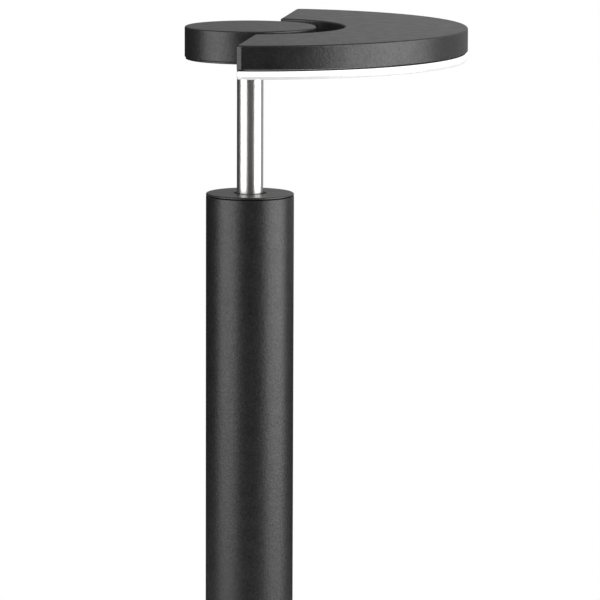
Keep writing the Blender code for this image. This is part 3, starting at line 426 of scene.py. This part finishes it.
def half_ring(inset=0.0):
    """The half ring's outline moved inwards by inset.

    It goes round the outer arc, down the slanted end and the straight edge, and back along the inner arc.
    """
    outer = RING_OUTER - inset
    inner = RING_INNER + inset
    edge = RING_EDGE + inset
    corner = CORNER_ROUNDING
    tip_x = edge + TIP_SLANT[0]
    tip_y = math.sqrt(outer**2 - tip_x**2)
    slant_end = (edge, tip_y - TIP_SLANT[1])
    corner_centre = (edge + corner, math.sqrt((inner + corner) ** 2 - (edge + corner) ** 2))
    tip_angle = math.degrees(math.atan2(tip_y, tip_x))
    corner_angle = math.degrees(math.atan2(corner_centre[1], corner_centre[0]))
    half = arc((0, 0), outer, 0, tip_angle - TIP_EASE, 90)
    half += eased(half[-1], (tip_x, tip_y), slant_end)
    half += eased((tip_x, tip_y), slant_end, (edge, 0))
    half += arc(corner_centre, corner, 180, 180 + corner_angle, 6)
    half += arc((0, 0), inner, corner_angle, 0, 60)[1:]
    return half + [(x, -y) for x, y in reversed(half[1:-1])]


def half_ring_wall(shape, sections):
    """A wall through (inset, height) sections. Returns its rings of points."""
    rings = [[shape.verts.new((x, y, z)) for x, y in half_ring(inset)] for inset, z in sections]
    for first, second in zip(rings, rings[1:]):
        bridge(shape, first, second)
    return rings


def half_ring_loop(sections):
    """A band through (inset, height) sections, closed on itself."""
    shape = bmesh.new()
    rings = half_ring_wall(shape, sections)
    bridge(shape, rings[-1], rings[0])
    return shape


def half_ring_tray(outside, inside):
    """A tray from its mouth to its closed end, through (inset, height) sections outside and inside."""
    shape = bmesh.new()
    mouths = []
    for sections in (outside, inside):
        rings = half_ring_wall(shape, sections)
        shape.faces.new(rings[-1])
        mouths.append(rings[0])
    bridge(shape, *mouths)
    return shape


def block(low, high):
    """A box between two corners."""
    shape = bmesh.new()
    bmesh.ops.create_cube(shape, size=1)
    for vert in shape.verts:
        for axis in range(3):
            vert.co[axis] = high[axis] if vert.co[axis] > 0 else low[axis]
    return shape


def moved(shape, location, direction=(0, 0, 1)):
    """The shape with its +Z turned to the direction and its origin at the location."""
    turn = Vector(direction).to_track_quat("Z", "Y").to_matrix().to_4x4()
    shape.transform(Matrix.Translation(location) @ turn)
    return shape


def mesh_of(shape, name):
    bmesh.ops.recalc_face_normals(shape, faces=shape.faces)
    mesh = bpy.data.meshes.new(name)
    shape.to_mesh(mesh)
    shape.free()
    return mesh


def carve(thing, shapes, operation="DIFFERENCE"):
    """Cuts the shapes from the thing, or joins them to it, and keeps the result as its mesh."""
    for number, shape in enumerate(shapes):
        tool = bpy.data.objects.new(f"tool_{number}", mesh_of(shape, "tool"))
        bpy.context.scene.collection.objects.link(tool)
        step = thing.modifiers.new("carve", "BOOLEAN")
        step.operation = operation
        step.solver = "EXACT"
        step.object = tool
        graph = bpy.context.evaluated_depsgraph_get()
        mesh = bpy.data.meshes.new_from_object(thing.evaluated_get(graph), depsgraph=graph)
        thing.modifiers.clear()
        thing.data = mesh
        bpy.data.objects.remove(tool)


def piece(name, shape, body, slot, replaced, cuts=(), joins=()):
    """A finished piece in place of CAD nodes, smooth except at real edges."""
    thing = bpy.data.objects.new(name, mesh_of(shape, name))
    bpy.context.scene.collection.objects.link(thing)
    carve(thing, joins, "UNION")
    carve(thing, cuts)
    thing.data.materials.clear()
    thing.data.materials.append(MATERIALS[slot])
    thing.data.shade_smooth()
    thing.data.set_sharp_from_angle(angle=math.radians(SHARP_ANGLE))
    weighted = thing.modifiers.new("even_normals", "WEIGHTED_NORMAL")
    weighted.keep_sharp = True
    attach(thing, body)
    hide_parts(*replaced)


def hole(radius, low, high, location, direction=(0, 0, 1)):
    """A round cutter, or a boss, from low to high along the direction."""
    section = ((0, high), (radius, high), (radius, low), (0, low))
    return moved(turned(section, SCREW_SIDES), location, direction)


def chamfered(radius, z, size, low=False):
    """Two corners of a small chamfer on an outer edge, listed upwards."""
    if low:
        return (radius - size, z), (radius, z + size)
    return (radius, z - size), (radius - size, z)


def rounded_top(radius, top, edge, steps=8):
    """A rounded outer edge under a flat top, listed downwards from the top."""
    return list(reversed(arc((radius - edge, top - edge), edge, 0, 90, steps)))


def rounded_foot(radius, bottom, edge):
    """A rounded outer edge over a flat underside, listed downwards."""
    return list(reversed(arc((radius - edge, bottom + edge), edge, -90, 0, 6)))


# ---------------------------------------------------------------- fixings


def fixing_places():
    return [polar(FIXING_CIRCLE, 45 + 90 * number) for number in range(4)]


def hub_screw_places():
    return [polar(HUB_SCREW_CIRCLE, azimuth) for azimuth in HUB_SCREW_AZIMUTHS]


def arm_screw_places():
    return [polar(ARM_SCREW_CIRCLE, azimuth) for azimuth in ARM_SCREW_AZIMUTHS]


def diffuser_screw_places():
    outer = [polar(OUTER_SCREW_CIRCLE, azimuth) for azimuth in OUTER_SCREW_AZIMUTHS]
    return outer + list(INNER_SCREW_PLACES)


def ceiling_boss(radius, bottom, place):
    return hole(radius, bottom, CEILING + MM, (*place, 0))


def set_screw_holes(radius, height, azimuths):
    """Cutters through the post's side, for its set screws."""
    reach = (POST_RADIUS - 14 * MM, POST_RADIUS + MM)
    return [hole(radius + SLIP, *reach, (0, 0, height), (*polar(1, azimuth), 0)) for azimuth in azimuths]


def set_screw(radius, length):
    """A headless screw with a hexagon socket and a rounded rim. Its outer end is at height 0."""
    key = radius * 0.55
    rim = radius * 0.12
    section = (
        (0, -radius),
        (key, -radius, HEX),
        (key, -rim / 2, HEX),
        (key + rim / 2, 0, HEX),
        *rounded_top(radius, 0, rim, 4),
        (radius, -length + radius * 0.5),
        (radius * 0.5, -length),
        (0, -length),
    )
    return turned(section, SCREW_SIDES)


def countersunk_screw(shank, length, head, head_height):
    """A countersunk screw whose head is flush with height 0 and whose shank points down."""
    key = head * 0.45
    socket = head_height * 0.5
    lip = 0.08 * MM
    section = (
        (0, -socket),
        (key, -socket, HEX),
        (key, -lip, HEX),
        (key + lip, 0, HEX),
        (head - 2 * lip, 0),
        (head, -lip),
        (shank, -head_height),
        (shank, -length),
        (0, -length),
    )
    return turned(section, SCREW_SIDES)


def countersink(shank, length, head, head_height, place):
    """The cutter for a countersunk hole in the head's underside."""
    depth = length + MM
    section = (
        (0, MM),
        (head + SLIP, MM),
        (head + SLIP, 0),
        (shank + SLIP, -head_height),
        (shank + SLIP, -depth),
        (0, -depth),
    )
    return moved(turned(section, SCREW_SIDES), (*place, HEAD_BOTTOM), (0, 0, -1))


def make_set_screws():
    """The set screws in the post's side. Each ends just short of the bore that its spigot has."""
    groups = (
        ("base_set_screw", BASE_SET_SCREWS, SPIGOT_BORE),
        ("cap_set_screw", CAP_SET_SCREWS, CAP_RECESS_RADIUS),
    )
    start = POST_RADIUS - SEAM
    for name, (radius, height, azimuths), inner in groups:
        for number, azimuth in enumerate(azimuths, 1):
            x, y = polar(1, azimuth)
            screw = set_screw(radius, start - inner - 0.5 * MM)
            node = f"{name}_{number}"
            moved(screw, (start * x, start * y, height), (x, y, 0))
            piece(f"{node}_steel", screw, "post", "screw_steel", [node])


def make_countersunk_screws():
    """The screws in the head's underside."""
    groups = (
        ("hub_plate_screw", HUB_PLATE_SCREW, hub_screw_places()),
        ("diffuser_screw", DIFFUSER_SCREW, diffuser_screw_places()),
    )
    for name, size, places in groups:
        for number, (x, y) in enumerate(places, 1):
            screw = moved(countersunk_screw(*size), (x, y, HEAD_BOTTOM), (0, 0, -1))
            node = f"{name}_{number}"
            piece(f"{node}_steel", screw, "head", "screw_steel", [node])


# ---------------------------------------------------------------- foot and post


def make_base_flange():
    """A cast plate with a raised seat for the post and the spigot that goes up into it."""
    spigot_edge = 1.5 * MM
    section = (
        (0, PLATE_BOTTOM),
        *reversed(rounded_foot(BASE_RADIUS, PLATE_BOTTOM, 0.5 * MM)),
        *reversed(rounded_top(BASE_RADIUS, PLATE_TOP, 1.5 * MM)),
        (SEAT_RADIUS + 0.5 * MM, PLATE_TOP),
        *arc((SEAT_RADIUS + 0.5 * MM, PLATE_TOP + 0.5 * MM), 0.5 * MM, 270, 180, 4)[1:],
        (SEAT_RADIUS, SEAT_TOP - 0.2 * MM),
        (SEAT_RADIUS - 0.2 * MM, SEAT_TOP),
        (SPIGOT_RADIUS, SEAT_TOP),
        (SPIGOT_RADIUS, SPIGOT_TOP - spigot_edge),
        (SPIGOT_RADIUS - spigot_edge, SPIGOT_TOP),
        (SPIGOT_BORE, SPIGOT_TOP),
        (SPIGOT_BORE, PLATE_TOP),
        (0, PLATE_TOP),
    )
    cuts = [hole(FIXING_HOLE, 0, PLATE_TOP + MM, (x, y, 0)) for x, y in fixing_places()]
    cuts += [hole(ENTRY_HOLE, 0, PLATE_TOP + MM, (x, y, 0)) for x, y in ENTRY_PLACES]
    cuts += set_screw_holes(*BASE_SET_SCREWS)
    piece("base_casting", turned(section), "post", "powder_coat", ["base_flange"], cuts)


def make_base_gasket():
    """The rubber sheet under the foot."""
    radius = BASE_RADIUS - MM
    top = top_of("base_gasket")
    edge = 0.4 * MM
    section = (
        (0, top),
        *rounded_top(radius, top, edge),
        *rounded_foot(radius, 0, edge),
        (0, 0),
    )
    cuts = [hole(FIXING_HOLE + MM, -MM, top + MM, (x, y, 0)) for x, y in fixing_places()]
    cuts += [hole(ENTRY_HOLE + 0.5 * MM, -MM, top + MM, (x, y, 0)) for x, y in ENTRY_PLACES]
    piece("base_gasket_sheet", turned(section), "post", "black_rubber", ["base_gasket"], cuts)


def make_cable_grommets():
    """Rubber collars in the cable holes, with a rounded lip inside the foot."""
    lip = ENTRY_HOLE + 2 * MM
    section = (
        (GROMMET_BORE, PLATE_BOTTOM + MM),
        (ENTRY_HOLE - SEAM, PLATE_BOTTOM + MM),
        (ENTRY_HOLE - SEAM, PLATE_TOP + SEAM),
        (lip - 0.3 * MM, PLATE_TOP + SEAM),
        (lip, PLATE_TOP + 0.6 * MM),
        (lip - 0.2 * MM, PLATE_TOP + 1.4 * MM),
        *arc((4.4 * MM, PLATE_TOP + 2.3 * MM), 0.7 * MM, 30, 180, 8),
        (GROMMET_BORE, PLATE_TOP + 2 * MM),
    )
    for number, (x, y) in enumerate(ENTRY_PLACES, 1):
        collar = moved(turned(section, GROMMET_SIDES), (x, y, 0))
        node = f"cable_grommet_{number}"
        piece(f"{node}_collar", collar, "post", "black_rubber", [node])


def make_post_tube():
    """The post's round tube, open at both ends."""
    bore = POST_RADIUS - TUBE_WALL
    chamfer = 0.25 * MM
    section = (
        (bore, TUBE_BOTTOM),
        *chamfered(POST_RADIUS, TUBE_BOTTOM, chamfer, low=True),
        *chamfered(POST_RADIUS, TUBE_TOP, chamfer),
        (bore, TUBE_TOP),
    )
    cuts = set_screw_holes(*BASE_SET_SCREWS) + set_screw_holes(*CAP_SET_SCREWS)
    piece("post_tube_shell", turned(section), "post", "powder_coat", ["post_tube"], cuts)


def make_post_cap():
    """The cap's rounded plate closes the post, and its spigot goes down inside with a sealing groove."""
    boss_bore = STEM_RADIUS + SLIP
    cap_bottom = bottom_of("post_cap")
    plate_bottom = TUBE_TOP + SEAM
    groove = SPIGOT_RADIUS - 2.4 * MM
    recess_top = POST_TOP - 5 * MM
    seat = STEM_SEAL_RADIUS
    seat_edge = 0.3 * MM
    seat_depth = 1.9 * MM
    section = (
        (boss_bore, cap_bottom),
        (CAP_BOSS_RADIUS, cap_bottom),
        (CAP_BOSS_RADIUS, recess_top),
        (CAP_RECESS_RADIUS, recess_top),
        (CAP_RECESS_RADIUS, cap_bottom),
        (SPIGOT_RADIUS - MM, cap_bottom),
        (SPIGOT_RADIUS, cap_bottom + MM),
        (SPIGOT_RADIUS, SEAL_HEIGHT - SEAL_GROOVE_HALF_HEIGHT),
        (groove, SEAL_HEIGHT - SEAL_GROOVE_HALF_HEIGHT),
        (groove, SEAL_HEIGHT + SEAL_GROOVE_HALF_HEIGHT),
        (SPIGOT_RADIUS, SEAL_HEIGHT + SEAL_GROOVE_HALF_HEIGHT),
        (SPIGOT_RADIUS, plate_bottom),
        (POST_RADIUS - CAP_CHAMFER, plate_bottom),
        (POST_RADIUS, plate_bottom + CAP_CHAMFER),
        *reversed(rounded_top(POST_RADIUS, POST_TOP, CAP_ROUNDING, 10)),
        *arc((seat + seat_edge, POST_TOP - seat_edge), seat_edge, 90, 180, 4),
        (seat, POST_TOP - seat_depth),
        (boss_bore, POST_TOP - seat_depth),
    )
    cuts = set_screw_holes(*CAP_SET_SCREWS)
    piece("post_cap_shell", turned(section), "post", "powder_coat", ["post_cap"], cuts)


def make_stem():
    """The bare tube between the post and the head."""
    lead_in = 0.4 * MM
    section = (
        (STEM_BORE, STEM_BOTTOM),
        *chamfered(STEM_RADIUS, STEM_BOTTOM, lead_in, low=True),
        *chamfered(STEM_RADIUS, STEM_TOP, lead_in),
        (STEM_BORE, STEM_TOP),
    )
    piece("stem_shell", turned(section), "post", "stainless_steel", ["stem_tube"])


def make_seals():
    """The O-rings round the stem's foot and round the cap's spigot."""
    stem_cord = 0.9 * MM
    stem_middle = (STEM_RADIUS + SLIP + stem_cord + 0.1 * MM, POST_TOP - 0.7 * MM)
    cap_cord = 1.1 * MM
    cap_middle = (POST_RADIUS - TUBE_WALL - SLIP - cap_cord, SEAL_HEIGHT)
    for node, middle, cord in (("stem_seal", stem_middle, stem_cord), ("cap_seal", cap_middle, cap_cord)):
        ring = turned(arc(middle, cord, 0, 345, 23))
        piece(f"{node}_ring", ring, "post", "black_rubber", [node])


# ---------------------------------------------------------------- hub


def make_hub_body():
    """The cup that hides the swivel, with its bosses inside and a slot for the arm."""
    foot_height = bottom_of("hub_body")
    section = (
        (0, HEAD_TOP),
        *rounded_top(HUB_RADIUS, HEAD_TOP, HUB_EDGE),
        *rounded_foot(HUB_RADIUS, foot_height, 0.4 * MM),
        (HUB_RADIUS - HUB_WALL, foot_height),
        (HUB_RADIUS - HUB_WALL, CEILING),
        (0, CEILING),
    )
    joins = [ceiling_boss(3.2 * MM, HUB_PLATE_TOP + SEAM, spot) for spot in hub_screw_places()]
    joins += [ceiling_boss(4.5 * MM, DISC_TOP + SEAM, spot) for spot in arm_screw_places()]
    low = (HUB_RADIUS - 2 * HUB_WALL, -BAR_HALF_WIDTH - SEAM, HEAD_BOTTOM)
    high = (HUB_RADIUS + MM, BAR_HALF_WIDTH + SEAM, BAR_TOP + SEAM)
    cuts = [block(low, high)]
    cuts += [countersink(*HUB_PLATE_SCREW, spot) for spot in hub_screw_places()]
    arm_screw_hole = (ARM_SCREW_RADIUS + SLIP, DISC_TOP - MM, DISC_TOP + 8 * MM)
    cuts += [hole(*arm_screw_hole, (*spot, 0)) for spot in arm_screw_places()]
    piece("hub_shell", turned(section), "head", "powder_coat", ["hub_body"], cuts, joins)


def make_hub_plate():
    """The plate that closes the hub from below, with the stem through its middle."""
    radius = HUB_RADIUS - 0.7 * MM
    bore = STEM_RADIUS + 0.6 * MM
    section = (
        (bore + 0.2 * MM, HEAD_BOTTOM),
        *reversed(rounded_foot(radius, HEAD_BOTTOM, 0.4 * MM)),
        (radius, HUB_PLATE_TOP),
        (bore, HUB_PLATE_TOP),
        (bore, HEAD_BOTTOM + 0.2 * MM),
    )
    cuts = [countersink(*HUB_PLATE_SCREW, spot) for spot in hub_screw_places()]
    piece("hub_plate_cover", turned(section), "head", "powder_coat", ["hub_bottom_plate"], cuts)


def make_hub_gasket():
    """The flat band between the hub's cup and its bottom plate."""
    inner = HUB_RADIUS - HUB_WALL
    outer = HUB_RADIUS - 1.2 * MM
    low = bottom_of("hub_gasket")
    high = top_of("hub_gasket")
    bulge = 0.15 * MM
    section = (
        (inner, low),
        (outer - bulge, low),
        (outer, low + bulge),
        (outer, high - bulge),
        (outer - bulge, high),
        (inner, high),
    )
    piece("hub_gasket_band", turned(section), "head", "black_rubber", ["hub_gasket"])


# ---------------------------------------------------------------- half ring


def edge_sections(edge, height, upwards, steps=6):
    """(inset, height) sections of a rounded edge that ends flat at height."""
    way = 1 if upwards else -1
    return [(edge - x, height - way * (edge - z)) for x, z in arc((0, 0), edge, 0, 90, steps)]


def make_head_housing():
    """The half ring's tray, open below, with its bosses inside and a slot for the arm."""
    outside = [
        *reversed(edge_sections(0.3 * MM, RIM_BOTTOM, False)),
        *edge_sections(RIM_EDGE, HEAD_TOP, True, 8),
    ]
    inside = ((RIM_WALL, RIM_BOTTOM), (RIM_WALL, CEILING))
    boss_bottom = HEAD_BOTTOM + DIFFUSER_SHEET + SEAM
    joins = [ceiling_boss(3.4 * MM, boss_bottom, spot) for spot in diffuser_screw_places()]
    joins += [ceiling_boss(3.8 * MM, BAR_TOP + SEAM, (BAR_SCREW_X, y)) for y in BAR_SCREW_YS]
    low = (RING_INNER - 6 * MM, -BAR_HALF_WIDTH - SEAM, HEAD_BOTTOM)
    high = (RING_INNER + 2 * RIM_WALL, BAR_HALF_WIDTH + SEAM, BAR_TOP + SEAM)
    cuts = [block(low, high)]
    cuts += [countersink(*DIFFUSER_SCREW, spot) for spot in diffuser_screw_places()]
    bar_screw_hole = (BAR_SCREW_RADIUS + SLIP, BAR_TOP - MM, CEILING - 0.5 * MM)
    cuts += [hole(*bar_screw_hole, (BAR_SCREW_X, y, 0)) for y in BAR_SCREW_YS]
    shape = half_ring_tray(outside, inside)
    piece("half_ring_shell", shape, "head", "powder_coat", ["head_housing"], cuts, joins)


def make_diffuser():
    """The opal tray under the rim, with a lip that reaches up inside the housing's wall."""
    lip = RIM_WALL + 0.4 * MM
    lip_inside = lip + 1.9 * MM
    lip_top = top_of("diffuser")
    step = bottom_of("diffuser_gasket") - SEAM
    side = DIFFUSER_SIDE
    outside = [
        (lip, lip_top),
        (lip, step),
        (side + 0.2 * MM, step),
        (side, step - 0.2 * MM),
        *[(side + inset, height) for inset, height in edge_sections(0.8 * MM, HEAD_BOTTOM, False)],
    ]
    inside = ((lip_inside, lip_top), (lip_inside, HEAD_BOTTOM + DIFFUSER_SHEET))
    cuts = [countersink(*DIFFUSER_SCREW, spot) for spot in diffuser_screw_places()]
    shape = half_ring_tray(outside, inside)
    piece("diffuser_tray", shape, "head", "opal_diffuser", ["diffuser"], cuts)


def make_diffuser_gasket():
    """The band between the half ring's rim and the diffuser, set back from both."""
    low = bottom_of("diffuser_gasket")
    high = top_of("diffuser_gasket")
    outer = 1.0 * MM
    bulge = 0.15 * MM
    sections = (
        (RIM_WALL, low),
        (outer + bulge, low),
        (outer, low + bulge),
        (outer, high - bulge),
        (outer + bulge, high),
        (RIM_WALL, high),
    )
    piece("diffuser_gasket_band", half_ring_loop(sections), "head", "black_rubber", ["diffuser_gasket"])


# ---------------------------------------------------------------- carried-over nodes


def finish_cad_nodes():
    """Finishes for the frame's own nodes. The ones without a finer piece stay in the model."""
    slots = {row["node"]: row["material_slot"] for row in frame["record"]["subparts"]}
    for name, node in frame["nodes"].items():
        node.data.materials.clear()
        node.data.materials.append(MATERIALS[slots[name]])


# ---------------------------------------------------------------- camera, lights, floor


def make_camera():
    """Seen from slightly above, almost along the half ring's straight edge."""
    heading = math.radians(CAMERA_HEADING)
    pitch = math.radians(CAMERA_PITCH)
    roll = math.radians(CAMERA_ROLL)
    data = bpy.data.cameras.new("camera")
    data.sensor_width = CAMERA_SENSOR
    data.lens = CAMERA_LENS
    data.clip_start = 0.1
    data.clip_end = 100
    camera = bpy.data.objects.new("camera", data)
    camera.location = (*polar(CAMERA_DISTANCE, CAMERA_AZIMUTH), POST_TOP + CAMERA_RISE)
    level = Vector((math.sin(heading), math.cos(heading), 0))
    forward = level * math.cos(pitch) + Vector((0, 0, math.sin(pitch)))
    right = forward.cross(Vector((0, 0, 1))).normalized()
    up = right.cross(forward)
    rolled_right = right * math.cos(roll) + up * math.sin(roll)
    rolled_up = up * math.cos(roll) - right * math.sin(roll)
    axes = Matrix((rolled_right, rolled_up, -forward)).transposed()
    camera.rotation_mode = "QUATERNION"
    camera.rotation_quaternion = axes.to_quaternion()
    bpy.context.scene.collection.objects.link(camera)
    bpy.context.scene.camera = camera


def softbox(name, side, elevation, distance, width, height, radiance):
    """A large area light aimed at the lamp. side is in degrees, to the right of the camera."""
    level, rise = polar(1, elevation)
    out = Vector((*polar(level, CAMERA_AZIMUTH + side), rise))
    data = bpy.data.lights.new(name, "AREA")
    data.shape = "RECTANGLE"
    data.size = width
    data.size_y = height
    data.energy = radiance * math.pi * width * height
    light = bpy.data.objects.new(name, data)
    light.location = LIGHT_AIM + out * distance
    light.rotation_mode = "QUATERNION"
    light.rotation_quaternion = out.to_track_quat("Z", "Y")
    light.visible_camera = False
    bpy.context.scene.collection.objects.link(light)


def make_world():
    """White behind the lamp, and in its reflections a grey room that gets lighter upwards."""
    world = bpy.data.worlds.new("room")
    bpy.context.scene.world = world
    world.use_nodes = True
    tree = world.node_tree
    room = tree.nodes["Background"]
    split = tree.nodes.new("ShaderNodeSeparateXYZ")
    tree.links.new(tree.nodes.new("ShaderNodeTexCoord").outputs["Generated"], split.inputs["Vector"])
    half = tree.nodes.new("ShaderNodeMapRange")
    half.inputs["From Min"].default_value = -1
    tree.links.new(split.outputs["Z"], half.inputs["Value"])
    ramp = tree.nodes.new("ShaderNodeValToRGB")
    fill_ramp(ramp.color_ramp, ROOM_GREYS)
    tree.links.new(half.outputs["Result"], ramp.inputs["Fac"])
    tree.links.new(ramp.outputs["Color"], room.inputs["Color"])
    seen = tree.nodes.new("ShaderNodeBackground")
    seen.inputs["Color"].default_value = (1, 1, 1, 1)
    mix = tree.nodes.new("ShaderNodeMixShader")
    tree.links.new(tree.nodes.new("ShaderNodeLightPath").outputs["Is Camera Ray"], mix.inputs["Fac"])
    tree.links.new(room.outputs["Background"], mix.inputs[1])
    tree.links.new(seen.outputs["Background"], mix.inputs[2])
    tree.links.new(mix.outputs["Shader"], tree.nodes["World Output"].inputs["Surface"])


def make_floor():
    shape = bmesh.new()
    bmesh.ops.create_circle(shape, cap_ends=True, segments=FLOOR_SIDES, radius=FLOOR_RADIUS)
    floor = bpy.data.objects.new("floor", mesh_of(shape, "floor"))
    finish = Finish("pale_floor", Roughness=0.9)
    finish.link(finish.ramp(finish.noise(0.3), (0.60, 0.60, 0.60), (0.62, 0.62, 0.62)), "Base Color")
    floor.data.materials.append(finish.material)
    bpy.context.scene.collection.objects.link(floor)


MATERIALS = make_materials()
make_camera()
for box in SOFTBOXES:
    softbox(*box)
make_world()
make_floor()
bpy.context.scene.view_settings.view_transform = "Standard"
finish_cad_nodes()
make_base_gasket()
make_base_flange()
make_cable_grommets()
make_post_tube()
make_post_cap()
make_stem()
make_seals()
make_set_screws()
make_hub_body()
make_hub_plate()
make_hub_gasket()
make_head_housing()
make_diffuser()
make_diffuser_gasket()
make_countersunk_screws()
